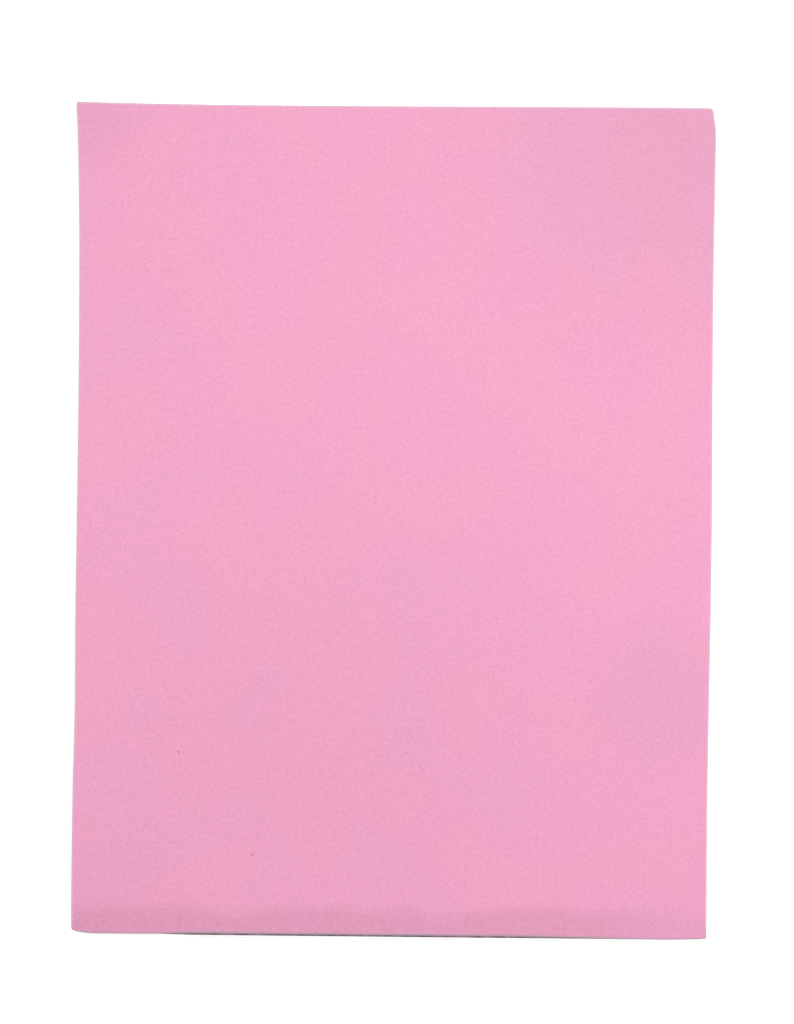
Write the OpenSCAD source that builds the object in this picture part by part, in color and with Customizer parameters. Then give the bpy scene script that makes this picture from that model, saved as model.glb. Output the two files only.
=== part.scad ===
// Foam-faced scoring board for card and paper craft, letter format.
//
// A soft foam sheet is taped over a stiff foamed-plastic board.  Paper is laid on the
// foam, and a stylus run along a ruler presses the fold line into it.  Six low rubber
// feet, each stuck into a shallow recess under the board, keep it from sliding.
//
// Frame: millimetres, X across the board, Y along it with the user's edge at -Y, Z up.
// The origin is under the middle of the whole outline, on the table.

/* [Foam face] */
// Width of the foam sheet, X
face_w = 215; // [150:0.5:320]
// Length of the foam sheet, Y
face_l = 280.5; // [200:0.5:420]
// Thickness of the foam sheet
face_t = 2; // [1:0.25:6]
// Radius of the two corners that are still crisp
crisp_r = 0.4; // [0.2:0.1:4]
// Radius of the two corners that are worn round
worn_r = 1.7; // [0.5:0.1:6]

/* [Board] */
// Thickness of the stiff board
board_t = 3; // [2:0.5:8]
// How far the foam hangs over the board's left and right edges
side_overhang = 1.2; // [0:0.1:3]
// How far the foam hangs over the board's rear edge
rear_overhang = 0.8; // [0:0.1:3]
// How far the board shows past the foam at the user's edge
front_reveal = 1.2; // [0:0.1:3]
// Corner radius of the board
board_r = 3; // [0.5:0.5:10]

/* [Adhesive] */
// Thickness of the double-sided film under the foam
film_t = 0.13; // [0.05:0.01:0.5]
// Width of the foam's unglued rim
film_margin = 3; // [1:0.5:15]
// Thickness of the adhesive disc on each foot
disc_t = 0.13; // [0.05:0.01:0.5]
// How far each adhesive disc stops inside its foot's edge
disc_margin = 0.4; // [0.1:0.1:1.5]

/* [Feet] */
// Diameter of a foot
foot_d = 12.7; // [8:0.1:20]
// Height of a foot
foot_h = 2; // [1.6:0.1:5]
// Radius of a foot's lower edge
foot_edge_r = 0.6; // [0.2:0.1:0.8]
// Distance from the board's edges to the centres of the outer feet
foot_inset = 16; // [12:0.5:40]
// Depth of the recess that seats a foot
recess_depth = 0.8; // [0.3:0.1:1.4]
// Gap between a foot and its recess, all round
recess_gap = 0.3; // [0.1:0.05:1]

/* [Hidden] */
$fn = 64;

// How far a cutter runs past the face that it opens
overcut = 1;

// Outline: the foam is the widest piece, and the board is the foremost one
overall_l = face_l + front_reveal;
face_y = front_reveal / 2;
board_w = face_w - 2 * side_overhang;
board_l = overall_l - rear_overhang;
board_y = -rear_overhang / 2;

// The film lies where the foam and the board both are, less the unglued rim
film_w = board_w - 2 * film_margin;
film_l = face_l - rear_overhang - 2 * film_margin;
film_y = (front_reveal - rear_overhang) / 2;
film_r = max(board_r - film_margin, 0.5);

// Levels, from the table up
disc_z = foot_h;
recess_z = disc_z + disc_t;
board_z = recess_z - recess_depth;
film_z = board_z + board_t;
face_z = film_z + film_t;

// The feet stand in two columns (LEFT, RIGHT) and three rows (FRONT, MIDDLE, REAR)
LEFT = -1;
RIGHT = 1;
FRONT = -1;
MIDDLE = 0;
REAR = 1;
foot_x = board_w / 2 - foot_inset;
foot_y = board_l / 2 - foot_inset;

// The bit of a square corner that a round of radius r takes off.  The corner is at the
// origin, and the sheet lies towards +X and +Y from it.
module corner_waste(r) {
    difference() {
        translate([-overcut, -overcut]) square(r + overcut);
        translate([r, r]) circle(r);
    }
}

// A flat sheet centred on the Z axis, with its own radius at each corner, in the order
// front left, front right, rear right, rear left
module sheet(w, l, t, radii) {
    linear_extrude(t) difference() {
        square([w, l], center = true);
        for (i = [0:3])
            rotate(i * 90)
                translate([-(i % 2 == 0 ? w : l) / 2, -(i % 2 == 0 ? l : w) / 2])
                    corner_waste(radii[i]);
    }
}

// Moves its children to one foot's axis
module at_foot(column, row) {
    translate([column * foot_x, board_y + row * foot_y, 0]) children();
}

// Closed-cell foam sheet that the paper is scored on
module foam_face() {
    color([0.95, 0.66, 0.79])
        translate([0, face_y, face_z])
            sheet(face_w, face_l, face_t, [worn_r, crisp_r, worn_r, crisp_r]);
}

// Double-sided film that holds the foam to the board
module face_adhesive() {
    color([0.93, 0.92, 0.86])
        translate([0, film_y, film_z])
            sheet(film_w, film_l, film_t, [film_r, film_r, film_r, film_r]);
}

// Stiff foamed-plastic board with a round recess underneath for each foot
module core_board() {
    color([0.96, 0.96, 0.95]) difference() {
        translate([0, board_y, board_z])
            sheet(board_w, board_l, board_t, [board_r, board_r, board_r, board_r]);
        for (column = [LEFT, RIGHT], row = [FRONT, MIDDLE, REAR])
            at_foot(column, row)
                translate([0, 0, board_z - overcut])
                    cylinder(h = overcut + recess_depth, d = foot_d + 2 * recess_gap);
    }
}

// Rubber foot: a low round pad with its lower edge rounded
module foot(column, row) {
    color([0.80, 0.81, 0.80]) at_foot(column, row) rotate_extrude() {
        square([foot_d / 2 - foot_edge_r, foot_h]);
        translate([0, foot_edge_r]) square([foot_d / 2, foot_h - foot_edge_r]);
        intersection() {
            translate([foot_d / 2 - foot_edge_r, foot_edge_r]) circle(foot_edge_r);
            square([foot_d / 2, foot_h]);
        }
    }
}

// Adhesive disc between a foot and the bottom of its recess
module foot_adhesive(column, row) {
    color([0.90, 0.89, 0.82]) at_foot(column, row)
        translate([0, 0, disc_z]) cylinder(h = disc_t, d = foot_d - 2 * disc_margin);
}

foam_face();
face_adhesive();
core_board();
foot(LEFT, FRONT);  // foot_front_left
foot(LEFT, MIDDLE);  // foot_middle_left
foot(LEFT, REAR);  // foot_rear_left
foot(RIGHT, FRONT);  // foot_front_right
foot(RIGHT, MIDDLE);  // foot_middle_right
foot(RIGHT, REAR);  // foot_rear_right
foot_adhesive(LEFT, FRONT);  // foot_adhesive_front_left
foot_adhesive(LEFT, MIDDLE);  // foot_adhesive_middle_left
foot_adhesive(LEFT, REAR);  // foot_adhesive_rear_left
foot_adhesive(RIGHT, FRONT);  // foot_adhesive_front_right
foot_adhesive(RIGHT, MIDDLE);  // foot_adhesive_middle_right
foot_adhesive(RIGHT, REAR);  // foot_adhesive_rear_right
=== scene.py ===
import math

import bmesh
import bpy
import numpy as np
from mathutils import Euler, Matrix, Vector, noise


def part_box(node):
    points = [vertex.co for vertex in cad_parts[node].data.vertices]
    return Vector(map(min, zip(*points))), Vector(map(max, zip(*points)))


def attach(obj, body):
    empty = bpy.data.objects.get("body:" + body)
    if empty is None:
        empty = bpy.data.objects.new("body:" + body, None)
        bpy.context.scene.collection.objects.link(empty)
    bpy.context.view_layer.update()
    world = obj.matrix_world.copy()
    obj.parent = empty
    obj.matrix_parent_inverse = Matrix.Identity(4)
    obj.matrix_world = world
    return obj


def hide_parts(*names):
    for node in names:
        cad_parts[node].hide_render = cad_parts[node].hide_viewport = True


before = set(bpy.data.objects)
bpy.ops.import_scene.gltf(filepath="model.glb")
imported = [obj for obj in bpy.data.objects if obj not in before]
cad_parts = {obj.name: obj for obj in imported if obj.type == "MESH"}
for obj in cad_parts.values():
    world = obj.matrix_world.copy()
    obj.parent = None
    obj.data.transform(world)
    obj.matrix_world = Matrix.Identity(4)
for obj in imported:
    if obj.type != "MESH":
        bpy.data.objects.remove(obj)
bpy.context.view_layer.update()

# Looks of the foam-faced scoring board.  Every length is in metres, so a size in
# millimetres is written with MM.  X runs across the board, Y along it with the user's
# edge at -Y, and Z up from the table.
MM = 0.001
ROWS = ("front", "middle", "rear")
COLUMNS = ("left", "right")

FACE_LOW, FACE_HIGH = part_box("foam_face")
BOARD_LOW, BOARD_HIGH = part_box("core_board")
FACE_CENTRE = (FACE_LOW + FACE_HIGH) / 2


# ---------------------------------------------------------------- camera and light

LENS = 100  # focal length, in millimetres
SENSOR = 36  # width along the view's long side, in millimetres
VIEW_HEIGHT = 345.0 * MM  # what the view takes in along the board, at the foam's level
VIEW_OFFSET = Vector((1.47 * MM, 3.45 * MM, 0))  # from the foam's middle to the view's
VIEW_TURN = math.radians(0.60)  # the board lies turned this much clockwise in the view
VIEW_TILT = math.radians(1.4)  # the camera leans in from past the rear edge

SKY_LIGHT = 0.54  # strength of the soft light from all round
SOFTBOX_PLACE = Vector((0.17, 0.08, 1.0))
SOFTBOX_SIZE = 0.6
SOFTBOX_WATTS = 8.1


def add_camera():
    """A long lens almost straight above the foam, as on a copy stand."""
    data = bpy.data.cameras.new("copy_stand")
    data.lens = LENS
    data.sensor_width = SENSOR
    data.clip_start = 0.01
    data.clip_end = 50
    camera = bpy.data.objects.new("copy_stand", data)
    bpy.context.scene.collection.objects.link(camera)
    camera.rotation_euler = Euler((-VIEW_TILT, 0, VIEW_TURN))
    away = Vector((0, 0, VIEW_HEIGHT * LENS / SENSOR))
    away.rotate(camera.rotation_euler)
    camera.location = Vector((FACE_CENTRE.x, FACE_CENTRE.y, FACE_HIGH.z)) + VIEW_OFFSET + away
    bpy.context.scene.camera = camera


def add_light():
    """Soft light all round, and one large softbox overhead, a little to the right and rear."""
    sky = bpy.data.worlds.new("studio")
    sky.use_nodes = True
    sky.node_tree.nodes["Background"].inputs["Color"].default_value = (1, 1, 1, 1)
    sky.node_tree.nodes["Background"].inputs["Strength"].default_value = SKY_LIGHT
    bpy.context.scene.world = sky
    data = bpy.data.lights.new("softbox", "AREA")
    data.size = SOFTBOX_SIZE
    data.energy = SOFTBOX_WATTS
    lamp = bpy.data.objects.new("softbox", data)
    bpy.context.scene.collection.objects.link(lamp)
    lamp.location = SOFTBOX_PLACE
    lamp.rotation_euler = (FACE_CENTRE - SOFTBOX_PLACE).to_track_quat("-Z", "Y").to_euler()
    bpy.context.scene.view_settings.view_transform = "Standard"


# ---------------------------------------------------------------- wear and painted shade, in shape and colour

# Wrists rest on the user's edge: a band there is pressed down, and painted shade darkens it.
# Over the middle the glue has let go of the lip, whose wall leans out and shows, its foot
# darkened by dirt and by painted shade of the gap beneath it
BAND = 14 * MM
BAND_DROP = 0.5 * MM
BAND_CURVE = 2.2  # above 1, most of the drop is close to the edge
BAND_SHADE_FULL = 5 * MM  # the band's painted shade is full up to here, and gone at the next length
BAND_SHADE_END = 12 * MM
BAND_DRIFT = 4 * MM  # how far the end of the band's painted shade wanders
BAND_SHADE_TINT = (0.895, 0.895, 0.895, 1)
BAND_SHADE_FADE = (72 * MM, 93 * MM)  # towards the right corner the band's painted shade fades to the next share of its strength
BAND_SHADE_FAINT = 0.45
WALL_SHADE_FULL = 0.5 * MM  # painted shade greys the cut wall up to here, and is gone from the next length on
WALL_SHADE_END = 5 * MM
LIP_LEFT = (-85 * MM, -63 * MM)  # where the loose lip begins, and where it is fully loose
LIP_RIGHT = (103 * MM, 33 * MM)
LIP_LIFT = 0.3 * MM  # how far the lip's lower side is off the board, dying out over LIP_REACH
LIP_REACH = 6 * MM
LIP_LEAN = 0.9 * MM  # how far the lip's wall leans out at its foot
LIP_CREEP = 0.3 * MM  # how far that foot has crept past the straight edge
LIP_SOIL_AND_SHADE = (0.1, 0.7)  # shares of the wall's height, from the top, where its dirt and painted shade begin and are full

# Two burst cells: where they are, their radius and depth, and the dirt in them
PITS = (Vector((-71.5 * MM, -77.8 * MM)), Vector((-46.2 * MM, -112.4 * MM)))
PIT_RADIUS = 0.28 * MM
PIT_DEPTH = 0.35 * MM
PIT_TINT = (0.6, 0.53, 0.56, 1)

# Soft patches of painted shade, which copy the light's uneven fall-off, darkest at the rear corners,
# the front left corner and towards the user's side: where each is, how far it is full, where it ends,
# and its tint.  The last is a small dark dot of dirt.
STAINS_AND_SHADE = (
    (Vector((107.5 * MM, 140.0 * MM)), 10 * MM, 110 * MM, (0.90, 0.945, 0.945, 1)),
    (Vector((-107.5 * MM, 140.0 * MM)), 8 * MM, 32 * MM, (0.95, 0.94, 0.945, 1)),
    (Vector((91.0 * MM, -56.0 * MM)), 8 * MM, 36 * MM, (0.955, 0.97, 0.965, 1)),
    (Vector((-107.5 * MM, -140.0 * MM)), 10 * MM, 60 * MM, (0.985, 0.98, 0.975, 1)),
    (Vector((0, -260.0 * MM)), 120 * MM, 340 * MM, (0.96, 0.94, 0.955, 1)),
    (Vector((-15.0 * MM, -55.0 * MM)), 15 * MM, 110 * MM, (0.975, 0.98, 0.975, 1)),
    (Vector((72.9 * MM, -130.4 * MM)), 0.1 * MM, 0.55 * MM, (0.76, 0.73, 0.75, 1)),
)

# Faint dark flecks of graphite and paper dust
FLECK_SPACING = 60 * MM
FLECK_RADIUS = 0.3 * MM
FLECK_STRENGTH = 0.5

# Painted shade draws a grey line along the board's front arris, in patches over the middle of its length
SHADE_LINE_FULL = 0.1 * MM
SHADE_LINE_REACH = 0.32 * MM
SHADE_LINE_HALF_WIDTH = 60 * MM
SHADE_LINE_END = 76 * MM


# ---------------------------------------------------------------- materials

# A Mix node's factor and colour sockets, and its colour result
FACTOR, FIRST, SECOND, MIXED = 0, 6, 7, 2

# How large each pattern is, and how deep
DYE_CLOUD = 35 * MM
BAND_WANDER = 18 * MM
FOAM_GRAIN, FOAM_GRAIN_DEPTH = 1.1 * MM, 0.05 * MM  # cells of 0.1 to 0.3 mm are too fine to show
FOAM_CELL, FOAM_CELL_DEPTH = 0.35 * MM, 0.12 * MM  # the largest cells, cut open in the wall
SOIL_AND_SHADE_STREAK = 4 * MM
PVC_RIPPLE, PVC_RIPPLE_DEPTH = 2.5 * MM, 0.03 * MM
SHADE_LINE_PATCH = 9 * MM
SAW_MARK, SAW_MARK_DEPTH = 0.6 * MM, 0.12 * MM
SAW_MARK_STRETCH = 0.06  # a mark's width as a share of its height
PVC_CELL, PVC_CELL_DEPTH = 0.22 * MM, 0.05 * MM  # the real cells are finer than 0.1 mm
RUBBER_HAZE = 4 * MM
TRAPPED_BUBBLE = 1.2 * MM
PAPER_FIBRE = 60 * MM


def colour(text):
    """The linear colour of an sRGB hex value such as E29CBB."""
    parts = [int(text[i:i + 2], 16) / 255 for i in (0, 2, 4)]
    linear = [p / 12.92 if p <= 0.04045 else ((p + 0.055) / 1.055) ** 2.4 for p in parts]
    return (*linear, 1)


def per(size):
    """The scale that gives a pattern features of this size."""
    return 1 / size


def add(material, kind, inputs, **settings):
    """Adds a node.  Each input is a constant, or the socket that feeds it."""
    node = material.node_tree.nodes.new(kind)
    for name, value in settings.items():
        setattr(node, name, value)
    for socket, value in inputs.items():
        if isinstance(value, bpy.types.NodeSocket):
            material.node_tree.links.new(value, node.inputs[socket])
        else:
            node.inputs[socket].default_value = value
    return node


def new_material(name, **constants):
    """A material with one Principled shader, and the piece's own coordinates for its patterns."""
    material = bpy.data.materials.new(name)
    material.use_nodes = True
    shader = material.node_tree.nodes["Principled BSDF"]
    for socket, value in constants.items():
        shader.inputs[socket.replace("_", " ")].default_value = value
    place = add(material, "ShaderNodeTexCoord", {}).outputs["Object"]
    return material, place


def finish_material(material, **sources):
    """Joins what varies over the surface to the shader's sockets."""
    shader = material.node_tree.nodes["Principled BSDF"]
    for socket, source in sources.items():
        material.node_tree.links.new(source, shader.inputs[socket.replace("_", " ")])
    return material


def foam_dye(foam, place, grain):
    """Dye that took a little cooler in some places, speckled by the foam's grain: partly the dye's own
    mottling, partly painted shade that darkens the grain's dips.
    """
    cloud = add(foam, "ShaderNodeTexNoise", {"Vector": place, "Scale": per(DYE_CLOUD),
                                            "Detail": 1.0})
    share = add(foam, "ShaderNodeMapRange", {"Value": cloud.outputs["Fac"], "From Min": 0.3,
                                             "From Max": 0.7})
    dye = add(foam, "ShaderNodeMix", {FACTOR: share.outputs["Result"], FIRST: colour("E098B4"),
                                      SECOND: colour("DD97B9")}, data_type="RGBA")
    # The grain's speckle: the dye's own mottling, and painted shade darkening the grain's dips
    speckle_and_shade = add(foam, "ShaderNodeMapRange", {"Value": grain, "From Min": 0.3, "From Max": 0.7,
                                               "To Min": 0.925, "To Max": 1.075})
    return add(foam, "ShaderNodeVectorMath", {0: dye.outputs[MIXED], 1: speckle_and_shade.outputs["Result"]},
               operation="MULTIPLY").outputs["Vector"]


def foam_band_shade(foam, place, tone):
    """Painted shade in a band along the user's edge, with a wandering end."""
    drift = add(foam, "ShaderNodeTexNoise", {"Vector": place, "Scale": per(BAND_WANDER),
                                             "Detail": 1.0})
    shift = add(foam, "ShaderNodeMapRange", {"Value": drift.outputs["Fac"], "To Min": -BAND_DRIFT,
                                             "To Max": BAND_DRIFT})
    along = add(foam, "ShaderNodeSeparateXYZ", {"Vector": place})
    edge = add(foam, "ShaderNodeMath", {0: along.outputs["Y"], 1: shift.outputs["Result"]},
               operation="ADD")
    band = add(foam, "ShaderNodeMapRange", {"Value": edge.outputs["Value"],
                                            "From Min": FACE_LOW.y + BAND_SHADE_FULL,
                                            "From Max": FACE_LOW.y + BAND_SHADE_END,
                                            "To Min": 1.0, "To Max": 0.0},
               interpolation_type="SMOOTHSTEP")
    fade = add(foam, "ShaderNodeMapRange", {"Value": along.outputs["X"], "From Min": BAND_SHADE_FADE[0],
                                            "From Max": BAND_SHADE_FADE[1], "To Min": 1.0,
                                            "To Max": BAND_SHADE_FAINT})
    shade_share = add(foam, "ShaderNodeMath", {0: band.outputs["Result"], 1: fade.outputs["Result"]},
               operation="MULTIPLY")
    # Painted shade darkens the band's colour
    return add(foam, "ShaderNodeMix", {FACTOR: shade_share.outputs["Value"], FIRST: tone, SECOND: BAND_SHADE_TINT},
               data_type="RGBA", blend_type="MULTIPLY").outputs[MIXED]


def foam_shade_and_stains(foam, place, tone):
    """Soft patches of painted shade, dirt in the burst cells, and a few dark flecks."""
    dirt = [(pit, PIT_RADIUS / 2, 2 * PIT_RADIUS, PIT_TINT) for pit in PITS]
    for middle, full, fade_end, tint in (*STAINS_AND_SHADE, *dirt):
        away = add(foam, "ShaderNodeVectorMath", {0: place, 1: (middle.x, middle.y, FACE_HIGH.z)},
                   operation="DISTANCE")
        near = add(foam, "ShaderNodeMapRange", {"Value": away.outputs["Value"], "From Min": full,
                                                "From Max": fade_end, "To Min": 1.0, "To Max": 0.0},
                   interpolation_type="SMOOTHSTEP")
        # Painted shade in soft patches, and dirt in the burst cells
        tone = add(foam, "ShaderNodeMix", {FACTOR: near.outputs["Result"], FIRST: tone, SECOND: tint},
                   data_type="RGBA", blend_type="MULTIPLY").outputs[MIXED]
    fleck = add(foam, "ShaderNodeTexVoronoi", {"Vector": place, "Scale": per(FLECK_SPACING)},
                voronoi_dimensions="2D")
    seen = add(foam, "ShaderNodeMapRange", {"Value": fleck.outputs["Distance"], "From Min": 0.0,
                                            "From Max": FLECK_RADIUS / FLECK_SPACING,
                                            "To Min": FLECK_STRENGTH, "To Max": 0.0})
    return add(foam, "ShaderNodeMix", {FACTOR: seen.outputs["Result"], FIRST: tone,
                                       SECOND: colour("8A5F70")}, data_type="RGBA").outputs[MIXED]


def foam_wall(foam, place, face, cut, cells):
    """The cut wall: torn cells of a paler pink with painted shade in their hollows, greyed by painted
    shade at the user's edge, and dirt and painted shade at the loose lip's foot.
    """
    along = add(foam, "ShaderNodeSeparateXYZ", {"Vector": place})
    wall_shade = add(foam, "ShaderNodeMapRange", {"Value": along.outputs["Y"],
                                               "From Min": FACE_LOW.y + WALL_SHADE_FULL,
                                               "From Max": FACE_LOW.y + WALL_SHADE_END,
                                               "To Min": 1.0, "To Max": 0.0})
    # Painted shade greys the cut wall's colour at the user's edge
    pale = add(foam, "ShaderNodeMix", {FACTOR: wall_shade.outputs["Result"], FIRST: colour("D6B0C4"),
                                       SECOND: colour("AE92A2")}, data_type="RGBA")
    # Painted shade darkens the colour in the hollows of the torn cells
    hollow_shade = add(foam, "ShaderNodeMapRange", {"Value": cells, "From Min": 0.05, "From Max": 0.45,
                                              "To Min": 0.8, "To Max": 1.06})
    celled = add(foam, "ShaderNodeVectorMath", {0: pale.outputs[MIXED], 1: hollow_shade.outputs["Result"]},
                 operation="MULTIPLY")
    torn = add(foam, "ShaderNodeMix", {FACTOR: cut, FIRST: face, SECOND: celled.outputs["Vector"]},
               data_type="RGBA")
    soil_and_shade = add(foam, "ShaderNodeAttribute", {}, attribute_name="soil_and_shade").outputs["Fac"]
    streak = add(foam, "ShaderNodeTexNoise", {"Vector": place, "Scale": per(SOIL_AND_SHADE_STREAK),
                                              "Detail": 6.0, "Roughness": 0.7})
    uneven = add(foam, "ShaderNodeMapRange", {"Value": streak.outputs["Fac"], "From Min": 0.4,
                                              "From Max": 0.56, "To Min": 0.55, "To Max": 1.0})
    amount = add(foam, "ShaderNodeMath", {0: soil_and_shade, 1: uneven.outputs["Result"]}, operation="MULTIPLY")
    # Dirt, and painted shade of the gap under the loose lip, darken the wall's foot
    return add(foam, "ShaderNodeMix", {FACTOR: amount.outputs["Value"], FIRST: torn.outputs[MIXED],
                                       SECOND: colour("47293A")}, data_type="RGBA").outputs[MIXED]


def eva_foam():
    """Closed-cell EVA craft foam, skived from a block: a dull, dry pink with a fine pebbled grain."""
    foam, place = new_material("eva_foam_skived", IOR=1.45, Sheen_Weight=0.12, Sheen_Roughness=0.6)
    # The grain is drawn coarser than it is, so that it shows
    grain = add(foam, "ShaderNodeTexNoise", {"Vector": place, "Scale": per(FOAM_GRAIN), "Detail": 3.0,
                                             "Roughness": 0.6}).outputs["Fac"]
    face = foam_shade_and_stains(foam, place, foam_band_shade(foam, place, foam_dye(foam, place, grain)))
    cut = add(foam, "ShaderNodeAttribute", {}, attribute_name="cut").outputs["Fac"]
    cells = add(foam, "ShaderNodeTexVoronoi", {"Vector": place,
                                               "Scale": per(FOAM_CELL)}).outputs["Distance"]
    tone = foam_wall(foam, place, face, cut, cells)
    dull = add(foam, "ShaderNodeMapRange", {"Value": grain, "From Min": 0.3, "From Max": 0.7,
                                            "To Min": 0.74, "To Max": 0.88})
    pebble = add(foam, "ShaderNodeBump", {"Height": grain, "Strength": 1.0,
                                          "Distance": FOAM_GRAIN_DEPTH})
    pores = add(foam, "ShaderNodeBump", {"Height": cells, "Strength": cut,
                                         "Distance": FOAM_CELL_DEPTH,
                                         "Normal": pebble.outputs["Normal"]})
    return finish_material(foam, Base_Color=tone, Roughness=dull.outputs["Result"],
                           Normal=pores.outputs["Normal"])


def pvc_shade_line(skin, place):
    """How much painted shade greys the board's front arris: in patches, over the middle of its length."""
    along = add(skin, "ShaderNodeSeparateXYZ", {"Vector": place})
    arris = add(skin, "ShaderNodeMapRange", {"Value": along.outputs["Y"],
                                             "From Min": BOARD_LOW.y + SHADE_LINE_FULL,
                                             "From Max": BOARD_LOW.y + SHADE_LINE_REACH,
                                             "To Min": 1.0, "To Max": 0.0})
    sideways = add(skin, "ShaderNodeMath", {0: along.outputs["X"]}, operation="ABSOLUTE")
    inside = add(skin, "ShaderNodeMapRange", {"Value": sideways.outputs["Value"],
                                              "From Min": SHADE_LINE_HALF_WIDTH, "From Max": SHADE_LINE_END,
                                              "To Min": 1.0, "To Max": 0.0})
    line = add(skin, "ShaderNodeMath", {0: arris.outputs["Result"], 1: inside.outputs["Result"]},
               operation="MULTIPLY")
    patchy = add(skin, "ShaderNodeTexNoise", {"Vector": place, "Scale": per(SHADE_LINE_PATCH),
                                              "Detail": 4.0})
    patches = add(skin, "ShaderNodeMapRange", {"Value": patchy.outputs["Fac"], "From Min": 0.35,
                                               "From Max": 0.65, "To Min": 0.35})
    return add(skin, "ShaderNodeMath", {0: line.outputs["Value"], 1: patches.outputs["Result"]},
               operation="MULTIPLY").outputs["Value"]


def pvc_skin():
    """Foamed PVC sheet, its extruded face: a white satin with a faint orange peel."""
    skin, place = new_material("foamed_pvc_skin", IOR=1.52)
    ripple = add(skin, "ShaderNodeTexNoise", {"Vector": place, "Scale": per(PVC_RIPPLE),
                                              "Detail": 2.0}).outputs["Fac"]
    white = add(skin, "ShaderNodeMix", {FACTOR: ripple, FIRST: colour("F3F3F0"),
                                        SECOND: colour("F7F7F5")}, data_type="RGBA")
    # Painted shade along the board's front arris
    tone = add(skin, "ShaderNodeMix", {FACTOR: pvc_shade_line(skin, place), FIRST: white.outputs[MIXED],
                                       SECOND: colour("BCBCBE")}, data_type="RGBA")
    satin = add(skin, "ShaderNodeMapRange", {"Value": ripple, "From Min": 0.3, "From Max": 0.7,
                                             "To Min": 0.38, "To Max": 0.46})
    bump = add(skin, "ShaderNodeBump", {"Height": ripple, "Strength": 0.6,
                                        "Distance": PVC_RIPPLE_DEPTH})
    return finish_material(skin, Base_Color=tone.outputs[MIXED], Roughness=satin.outputs["Result"],
                           Normal=bump.outputs["Normal"])


def pvc_sawn():
    """Foamed PVC sheet, its sawn edge: chalky white, with upright saw marks and fine open cells."""
    sawn, place = new_material("foamed_pvc_sawn", IOR=1.52, Roughness=0.85)
    upright = add(sawn, "ShaderNodeMapping", {"Vector": place, "Scale": (1, 1, SAW_MARK_STRETCH)})
    marks = add(sawn, "ShaderNodeTexNoise", {"Vector": upright.outputs["Vector"],
                                             "Scale": per(SAW_MARK), "Detail": 3.0,
                                             "Roughness": 0.65}).outputs["Fac"]
    streak = add(sawn, "ShaderNodeMapRange", {"Value": marks, "From Min": 0.35, "From Max": 0.65})
    tone = add(sawn, "ShaderNodeMix", {FACTOR: streak.outputs["Result"], FIRST: colour("E6E5E2"),
                                       SECOND: colour("F4F4F2")}, data_type="RGBA")
    # The cells are drawn coarser than they are, so that they show
    cells = add(sawn, "ShaderNodeTexVoronoi", {"Vector": place,
                                               "Scale": per(PVC_CELL)}).outputs["Distance"]
    # Painted shade darkens the colour in the hollows of the open cells
    hollow_shade = add(sawn, "ShaderNodeMapRange", {"Value": cells, "From Min": 0.05, "From Max": 0.45,
                                              "To Min": 0.93, "To Max": 1.0})
    celled = add(sawn, "ShaderNodeVectorMath", {0: tone.outputs[MIXED], 1: hollow_shade.outputs["Result"]},
                 operation="MULTIPLY")
    saw = add(sawn, "ShaderNodeBump", {"Height": marks, "Strength": 0.8, "Distance": SAW_MARK_DEPTH})
    pitted = add(sawn, "ShaderNodeBump", {"Height": cells, "Strength": 0.6, "Distance": PVC_CELL_DEPTH,
                                          "Normal": saw.outputs["Normal"]})
    return finish_material(sawn, Base_Color=celled.outputs["Vector"], Normal=pitted.outputs["Normal"])


def foot_rubber():
    """Moulded polyurethane: milky, slightly see-through rubber with a satin surface."""
    rubber, place = new_material("polyurethane_moulded", IOR=1.5, Roughness=0.4, Subsurface_Weight=0.5,
                                 Subsurface_Radius=(1, 1, 1), Subsurface_Scale=1.5 * MM)
    haze = add(rubber, "ShaderNodeTexNoise", {"Vector": place, "Scale": per(RUBBER_HAZE),
                                              "Detail": 2.0})
    tone = add(rubber, "ShaderNodeMix", {FACTOR: haze.outputs["Fac"], FIRST: colour("CFD2CF"),
                                         SECOND: colour("DEE0DC")}, data_type="RGBA")
    return finish_material(rubber, Base_Color=tone.outputs[MIXED])


def adhesive_film():
    """Acrylic adhesive on a clear carrier: glossy, slightly yellow, with tiny trapped bubbles."""
    film, place = new_material("acrylic_adhesive", IOR=1.47, Roughness=0.12)
    bubbles = add(film, "ShaderNodeTexVoronoi", {"Vector": place, "Scale": per(TRAPPED_BUBBLE)})
    clear = add(film, "ShaderNodeMapRange", {"Value": bubbles.outputs["Distance"], "From Min": 0.1,
                                             "From Max": 0.25})
    tone = add(film, "ShaderNodeMix", {FACTOR: clear.outputs["Result"], FIRST: colour("F2EFE2"),
                                       SECOND: colour("E6E1CD")}, data_type="RGBA")
    return finish_material(film, Base_Color=tone.outputs[MIXED])


def floor_paper():
    """Background paper on a light table: plain, matte and white, with a glow that thins the shadows."""
    paper, place = new_material("background_paper", Roughness=0.9, Emission_Color=(1, 1, 1, 1),
                                Emission_Strength=0.38)
    fibre = add(paper, "ShaderNodeTexNoise", {"Vector": place, "Scale": per(PAPER_FIBRE)})
    tone = add(paper, "ShaderNodeMix", {FACTOR: fibre.outputs["Fac"], FIRST: colour("E4E4E3"),
                                        SECOND: colour("E7E7E6")}, data_type="RGBA")
    return finish_material(paper, Base_Color=tone.outputs[MIXED])


# ---------------------------------------------------------------- modelling helpers

def start_piece(name, operator, **settings):
    """Adds one primitive, with nothing else selected, and puts its place in its mesh."""
    bpy.ops.object.select_all(action="DESELECT")
    operator(**settings)
    piece = bpy.context.object
    piece.name = name
    piece.data.name = name
    bpy.ops.object.transform_apply(location=True, rotation=True, scale=True)
    return piece


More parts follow.
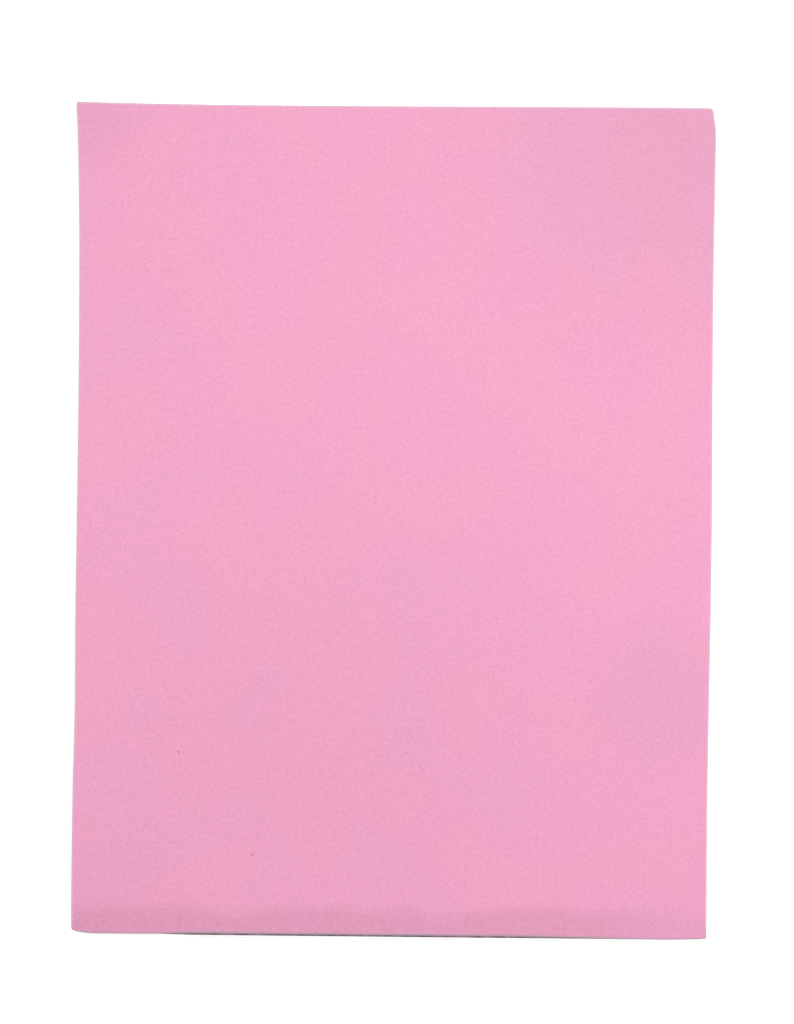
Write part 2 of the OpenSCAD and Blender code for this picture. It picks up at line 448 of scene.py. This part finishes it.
def pick(piece, kind, wanted):
    """In edit mode, selects the faces or edges that wanted is true for, and nothing else."""
    bpy.ops.mesh.select_mode(type=kind)
    bpy.ops.mesh.select_all(action="DESELECT")
    mesh = bmesh.from_edit_mesh(piece.data)
    for item in mesh.faces if kind == "FACE" else mesh.edges:
        item.select_set(bool(wanted(item)))
    bmesh.update_edit_mesh(piece.data)


def finish_piece(piece, slot, *materials):
    """Gives a piece its materials and its place on the one rigid body; the slot is not used."""
    for material in materials:
        piece.data.materials.append(material)
    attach(piece, "root")


def smoothstep(low, high, value):
    """0 below low, 1 above high, and a smooth rise between."""
    share = np.clip((value - low) / (high - low), 0, 1)
    return share * share * (3 - 2 * share)


# ---------------------------------------------------------------- foam face

# Mesh lines: how close they lie at the sheet's edges and marks, and how far apart between
LINE_FINE = 0.1 * MM
LINE_COARSE = 2.4 * MM
LINE_GROWTH = 0.25  # how fast they spread, per length from the nearest edge or mark

# Use has rounded the sheet's top edge over, most at the front
RIM_WIDTH = 0.7 * MM
RIM_DROP = 0.5 * MM
FRONT_RIM_DROP = 0.6 * MM
LOWER_RIM = 0.08 * MM  # radius of the lower edge
WALL_WAIST = 0.06 * MM  # the knife pressed the cut wall slightly hollow

# The sheet has shrunk: how far an edge is drawn in, and where along it, as a share of its
# length from the rear left corner
LEFT_BOW, LEFT_BOW_AT = 1.42 * MM, 0.27
REAR_BOW, REAR_BOW_AT = 0.61 * MM, 0.29
BOW_SHARPNESS = 2.7  # the higher, the narrower the bow
BOW_REACH = 8 * MM  # how quickly an edge's shape dies out over the sheet

# The knife wandered along the right edge, and dipped into the left one once: places are
# distances from the rear
RIGHT_WAVE, RIGHT_WAVE_LENGTH, RIGHT_WAVE_AT = 0.22 * MM, 170 * MM, 65 * MM
LEFT_DIP, LEFT_DIP_REACH, LEFT_DIP_AT = 0.35 * MM, 22 * MM, 203 * MM

# It was cut a little out of square: the rear edge lies to the left, and the front edge swells
# towards its right end
SKEW = 0.18 * MM
FRONT_SWELL, FRONT_SWELL_FROM, FRONT_SWELL_TO = 0.2 * MM, 40 * MM, 85 * MM

# Two opposite corners are knocked round and dented.  The other two are still crisp, and the
# front right one is pressed in a little.
CRISP_RADIUS = 0.8 * MM
WORN_RADIUS = 1.05 * MM
REAR_RIGHT_DENT, REAR_RIGHT_REACH = 1.15 * MM, 9 * MM
FRONT_LEFT_DENT, FRONT_LEFT_REACH = 0.85 * MM, 6.5 * MM
FRONT_RIGHT_DENT, FRONT_RIGHT_REACH = 0.35 * MM, 15 * MM
DENT_CURVE = 1.5
CORNER_DROP = 0.3 * MM
CORNER_DROP_REACH = 3.5 * MM

UNEVEN = 0.04 * MM  # the sheet isn't quite flat, over lengths of UNEVEN_LENGTH
UNEVEN_LENGTH = 50 * MM

# Rings of points round the edge: on its rounded top, down its wall, and on its lower edge
ARC_STEPS = 6
WALL_STEPS = 6
LOWER_STEPS = 2


def mesh_lines(low, high, marks):
    """Places of the mesh lines across the sheet, closer together at its two edges and at each mark."""
    places = [low]
    while places[-1] < high:
        away = min(abs(places[-1] - mark) for mark in (low, high, *marks))
        places.append(places[-1] + min(LINE_COARSE, LINE_FINE + LINE_GROWTH * away))
    places = np.array(places)
    return low + (places - low) * (high - low) / (places[-1] - low)


def bow(share, depth, deepest):
    """How far an edge is drawn in at a share of its length: depth at deepest, nothing at its ends."""
    share = np.clip(share, 0, 1)
    rise, fall = share / deepest, (1 - share) / (1 - deepest)
    return depth * (rise ** deepest * fall ** (1 - deepest)) ** BOW_SHARPNESS


def dent(away, depth, reach):
    """How far a dented corner draws an edge in, at a distance along the edge from the corner."""
    return depth * np.clip(1 - away / reach, 0, 1) ** DENT_CURVE


def lip(x):
    """1 where the front lip has let go, 0 towards the corners."""
    return smoothstep(*LIP_LEFT, x) * smoothstep(*LIP_RIGHT, x)


def round_corner(x, y, half_width, half_length, across, along, radius):
    """Draws the grid's corner on one side (across and along are -1 or 1) into a round of that radius."""
    share_x = np.clip((across * x - half_width + radius) / radius, 0, 1)
    share_y = np.clip((along * y - half_length + radius) / radius, 0, 1)
    corner = (share_x > 0) & (share_y > 0)
    round_x = radius * share_x * np.sqrt(1 - share_y * share_y / 2)
    round_y = radius * share_y * np.sqrt(1 - share_x * share_x / 2)
    x[corner] = (across * (half_width - radius + round_x))[corner]
    y[corner] = (along * (half_length - radius + round_y))[corner]


def foam_outline(x, y, width, length):
    """Moves the flat grid's points, which are centred on the origin, to the worn sheet's outline."""
    half_width, half_length = width / 2, length / 2
    from_left, from_right = x + half_width, half_width - x
    from_front, from_rear = y + half_length, half_length - y
    in_left = bow(from_rear / length, LEFT_BOW, LEFT_BOW_AT)
    in_left += LEFT_DIP * np.exp(-((from_rear - LEFT_DIP_AT) / LEFT_DIP_REACH) ** 2)
    in_right = dent(from_rear, REAR_RIGHT_DENT, REAR_RIGHT_REACH)
    in_right += RIGHT_WAVE * np.cos(2 * math.pi * (from_rear - RIGHT_WAVE_AT) / RIGHT_WAVE_LENGTH)
    in_rear = bow(from_left / width, REAR_BOW, REAR_BOW_AT)
    in_front = dent(from_left, FRONT_LEFT_DENT, FRONT_LEFT_REACH)
    in_front += FRONT_RIGHT_DENT * (1 - smoothstep(0, FRONT_RIGHT_REACH, from_right))
    in_front -= FRONT_SWELL * smoothstep(FRONT_SWELL_FROM, FRONT_SWELL_TO, x)
    in_front += (LIP_LEAN - LIP_CREEP) * lip(x)
    for across, along, radius in ((-1, -1, WORN_RADIUS), (1, -1, CRISP_RADIUS),
                                  (1, 1, WORN_RADIUS), (-1, 1, CRISP_RADIUS)):
        round_corner(x, y, half_width, half_length, across, along, radius - RIM_WIDTH)
    x += in_left * np.exp(-from_left / BOW_REACH) - in_right * np.exp(-from_right / BOW_REACH)
    x -= SKEW * y / half_length
    y += in_front * np.exp(-from_front / BOW_REACH) - in_rear * np.exp(-from_rear / BOW_REACH)


def foam_top(x, y):
    """Height of the foam's upper surface at each point."""
    front = y - FACE_LOW.y - RIM_WIDTH
    z = FACE_HIGH.z - BAND_DROP * np.clip(1 - front / BAND, 0, 1) ** BAND_CURVE
    z += UNEVEN * np.array([noise.noise(Vector((*point, 0)) / UNEVEN_LENGTH) for point in zip(x, y)])
    for worn_corner in (FACE_HIGH, FACE_LOW):
        away = np.hypot(x - worn_corner.x, y - worn_corner.y)
        z -= CORNER_DROP * np.exp(-(away / CORNER_DROP_REACH) ** 2)
    for pit in PITS:
        z -= PIT_DEPTH * np.exp(-(np.hypot(x - pit.x, y - pit.y) / PIT_RADIUS) ** 2)
    return z


def foam_bottom(x, y):
    """Height of the foam's lower surface at each point: flat on its film, but for the loose front lip."""
    front = y - FACE_LOW.y
    return FACE_LOW.z + LIP_LIFT * lip(x) * np.clip(1 - front / LIP_REACH, 0, 1) ** 2


def edge_rings(loop_x, loop_y, top_z, bottom_z):
    """The sheet's edge as rings of points, from the upper surface's edge down to the lower one's.
    Each ring has its x, y and z, how far it is a cut wall, and how far it carries dirt and painted shade."""
    tangent_x = np.roll(loop_x, -1) - np.roll(loop_x, 1)
    tangent_y = np.roll(loop_y, -1) - np.roll(loop_y, 1)
    size = np.hypot(tangent_x, tangent_y)
    out_x, out_y = tangent_y / size, -tangent_x / size
    frontness = np.clip(-out_y, 0, 1) ** 2
    loose = lip(loop_x) * frontness
    rim_drop = RIM_DROP + (FRONT_RIM_DROP - RIM_DROP) * frontness
    wall_top, wall_bottom = top_z - rim_drop, bottom_z + LOWER_RIM
    rings = []

    def add_ring(out, z, cut, soil_and_shade):
        rings.append((loop_x + out_x * out, loop_y + out_y * out, z, np.full(len(loop_x), cut),
                      soil_and_shade * np.sqrt(loose)))

    for step in range(1, ARC_STEPS + 1):
        turn = math.pi / 2 * step / ARC_STEPS
        add_ring(RIM_WIDTH * math.sin(turn), top_z - rim_drop * (1 - math.cos(turn)),
                 math.sqrt(math.sin(turn)), 0.0)
    for step in range(1, WALL_STEPS + 1):
        share = step / WALL_STEPS
        out = RIM_WIDTH + LIP_LEAN * loose * share - WALL_WAIST * math.sin(math.pi * share)
        add_ring(out, wall_top + (wall_bottom - wall_top) * share, 1.0, smoothstep(*LIP_SOIL_AND_SHADE, share))
    for step in range(1, LOWER_STEPS + 1):
        turn = math.pi / 2 * step / LOWER_STEPS
        out = RIM_WIDTH + LIP_LEAN * loose - LOWER_RIM * (1 - math.cos(turn))
        add_ring(out, wall_bottom - LOWER_RIM * math.sin(turn), 1.0 - step / LOWER_STEPS, 1.0)
    return rings


def foam_grid():
    """The upper surface's points, row by row, and their numbers in rows and columns."""
    width = FACE_HIGH.x - FACE_LOW.x - 2 * RIM_WIDTH
    length = FACE_HIGH.y - FACE_LOW.y - 2 * RIM_WIDTH
    columns = mesh_lines(-width / 2, width / 2, [pit.x - FACE_CENTRE.x for pit in PITS])
    rows = mesh_lines(-length / 2, length / 2, [pit.y - FACE_CENTRE.y for pit in PITS])
    x, y = (grid.ravel() for grid in np.meshgrid(columns, rows))
    foam_outline(x, y, width, length)
    number = np.arange(len(x)).reshape(len(rows), len(columns))
    return x + FACE_CENTRE.x, y + FACE_CENTRE.y, number


def foam_faces(number, loop, ring_count):
    """The sheet's faces: the upper grid's, the strips between the rings, and the lower grid's."""
    upper = np.stack([number[:-1, :-1], number[:-1, 1:], number[1:, 1:], number[1:, :-1]], -1)
    upper = upper.reshape(-1, 4)
    lower_start = number.size + ring_count * len(loop)
    rings = [number.size + ring * len(loop) + np.arange(len(loop)) for ring in range(ring_count)]
    rings = [loop, *rings, lower_start + loop]
    strips = [np.stack([above, below, np.roll(below, -1), np.roll(above, -1)], 1)
              for above, below in zip(rings, rings[1:])]
    return np.concatenate([upper, *strips, lower_start + upper[:, ::-1]])


def foam_face():
    """The foam sheet as one closed mesh: an upper and a lower grid, joined by rings round the cut edge."""
    x, y, number = foam_grid()
    top, bottom, unworn = foam_top(x, y), foam_bottom(x, y), np.zeros(len(x))
    loop = np.concatenate([number[0, :-1], number[:-1, -1], number[-1, :0:-1], number[:0:-1, 0]])
    rings = edge_rings(x[loop], y[loop], top[loop], bottom[loop])
    layers = [(x, y, top, unworn, unworn), *rings, (x, y, bottom, unworn, unworn)]
    points = np.concatenate([np.stack(layer, 1) for layer in layers])
    faces = foam_faces(number, loop, len(rings))

    mesh = bpy.data.meshes.new("foam_sheet")
    mesh.from_pydata(points[:, :3].tolist(), [], faces.tolist())
    for column, name in ((3, "cut"), (4, "soil_and_shade")):
        values = points[:, column].astype(np.float32)
        mesh.attributes.new(name, "FLOAT", "POINT").data.foreach_set("value", values)
    mesh.shade_smooth()
    mesh.validate()
    sheet = bpy.data.objects.new("foam_sheet", mesh)
    bpy.context.scene.collection.objects.link(sheet)
    finish_piece(sheet, "eva_foam", eva_foam())
    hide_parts("foam_face")


# ---------------------------------------------------------------- board and feet

BOARD_CORNER = 3 * MM
BOARD_CORNER_STEPS = 12
BOARD_ARRIS = 0.3 * MM  # the sharp edge taken off by hand
BOARD_ARRIS_STEPS = 3
RECESS_GAP = 0.3 * MM
RECESS_SIDES = 96

FOOT_SIDES = 72
FOOT_EDGE = 0.6 * MM
FOOT_EDGE_STEPS = 6
GRIP_RING = 1.6 * MM  # width of the ring that touches the table
DISH_SLOPE = 0.5 * MM
DISH_DEPTH = 0.18 * MM
DISH_WIDTH = 1.2 * MM
HUB_RISE = 0.1 * MM  # how far the middle of the dish stands back down

CREASE = math.radians(35)  # an edge that turns more than this stays sharp
ARRIS_TURN = math.radians(40)  # the board's edges that turn more than this lose their arris
FLOOR_SIZE = 20  # wide enough that no edge of it shows


def flat_board():
    """The stiff board: a cut panel with round corners, six milled recesses and a broken edge all round."""
    size = BOARD_HIGH - BOARD_LOW
    board = start_piece("board_panel", bpy.ops.mesh.primitive_cube_add, size=1,
                        location=(BOARD_LOW + BOARD_HIGH) / 2, scale=size)
    bpy.ops.object.mode_set(mode="EDIT")
    pick(board, "EDGE", lambda edge: abs(edge.verts[0].co.z - edge.verts[1].co.z) > size.z / 2)
    bpy.ops.mesh.bevel(offset=BOARD_CORNER, segments=BOARD_CORNER_STEPS, affect="EDGES")
    bpy.ops.object.mode_set(mode="OBJECT")
    for row in ROWS:
        for column in COLUMNS:
            mill_recess(board, f"{row}_{column}")
    arris = board.modifiers.new("arris", "BEVEL")
    arris.width, arris.segments = BOARD_ARRIS, BOARD_ARRIS_STEPS
    arris.limit_method, arris.angle_limit = "ANGLE", ARRIS_TURN
    bpy.ops.object.modifier_apply(modifier="arris")
    bpy.ops.object.shade_smooth_by_angle(angle=CREASE)
    finish_piece(board, "foamed_pvc", pvc_skin(), pvc_sawn())
    for face in board.data.polygons:
        sawn = abs(face.normal.z) < 0.5
        face.material_index = int(sawn)
    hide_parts("core_board")


def mill_recess(board, place):
    """Cuts one foot's round recess into the underside, as deep as the foot's adhesive disc says."""
    foot_low, foot_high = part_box(f"foot_{place}")
    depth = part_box(f"foot_adhesive_{place}")[1].z - BOARD_LOW.z
    middle = (foot_low + foot_high) / 2
    cutter = start_piece("cutter", bpy.ops.mesh.primitive_cylinder_add, vertices=RECESS_SIDES,
                         radius=(foot_high.x - foot_low.x) / 2 + RECESS_GAP, depth=2 * depth,
                         location=(middle.x, middle.y, BOARD_LOW.z))
    recess = board.modifiers.new("recess", "BOOLEAN")
    recess.object, recess.operation, recess.solver = cutter, "DIFFERENCE", "EXACT"
    bpy.context.view_layer.objects.active = board
    bpy.ops.object.modifier_apply(modifier="recess")
    bpy.data.objects.remove(cutter)


def moulded_foot(place):
    """A low round foot with a rounded lower edge, and a shallow dished ring in its gripping face."""
    low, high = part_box(f"foot_{place}")
    foot = start_piece(f"grip_foot_{place}", bpy.ops.mesh.primitive_cylinder_add, vertices=FOOT_SIDES,
                       radius=(high.x - low.x) / 2, depth=high.z - low.z, location=(low + high) / 2)
    middle = (low.z + high.z) / 2
    bpy.ops.object.mode_set(mode="EDIT")
    pick(foot, "EDGE", lambda edge: all(vertex.co.z < middle for vertex in edge.verts))
    bpy.ops.mesh.bevel(offset=FOOT_EDGE, segments=FOOT_EDGE_STEPS, affect="EDGES")
    pick(foot, "FACE", lambda face: face.normal.z < -0.999)
    bpy.ops.mesh.inset(thickness=GRIP_RING)
    bpy.ops.mesh.inset(thickness=DISH_SLOPE)
    bpy.ops.transform.translate(value=(0, 0, DISH_DEPTH))
    bpy.ops.mesh.inset(thickness=DISH_WIDTH)
    bpy.ops.mesh.inset(thickness=DISH_SLOPE)
    bpy.ops.transform.translate(value=(0, 0, -HUB_RISE))
    bpy.ops.object.mode_set(mode="OBJECT")
    bpy.ops.object.shade_smooth_by_angle(angle=CREASE)
    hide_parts(f"foot_{place}")
    return foot


def feet():
    """The six feet, all from one mould."""
    rubber = foot_rubber()
    for row in ROWS:
        for column in COLUMNS:
            finish_piece(moulded_foot(f"{row}_{column}"), "foot_rubber", rubber)


def adhesive():
    """The film and discs keep their own shape, and get the look of their adhesive."""
    film = adhesive_film()
    for name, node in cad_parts.items():
        if "adhesive" in name:
            node.data.materials.clear()
            node.data.materials.append(film)


def floor():
    """A wide sheet of background paper, level with the feet."""
    paper = start_piece("background", bpy.ops.mesh.primitive_plane_add, size=FLOOR_SIZE)
    paper.data.materials.append(floor_paper())


add_camera()
add_light()
foam_face()
flat_board()
feet()
adhesive()
floor()
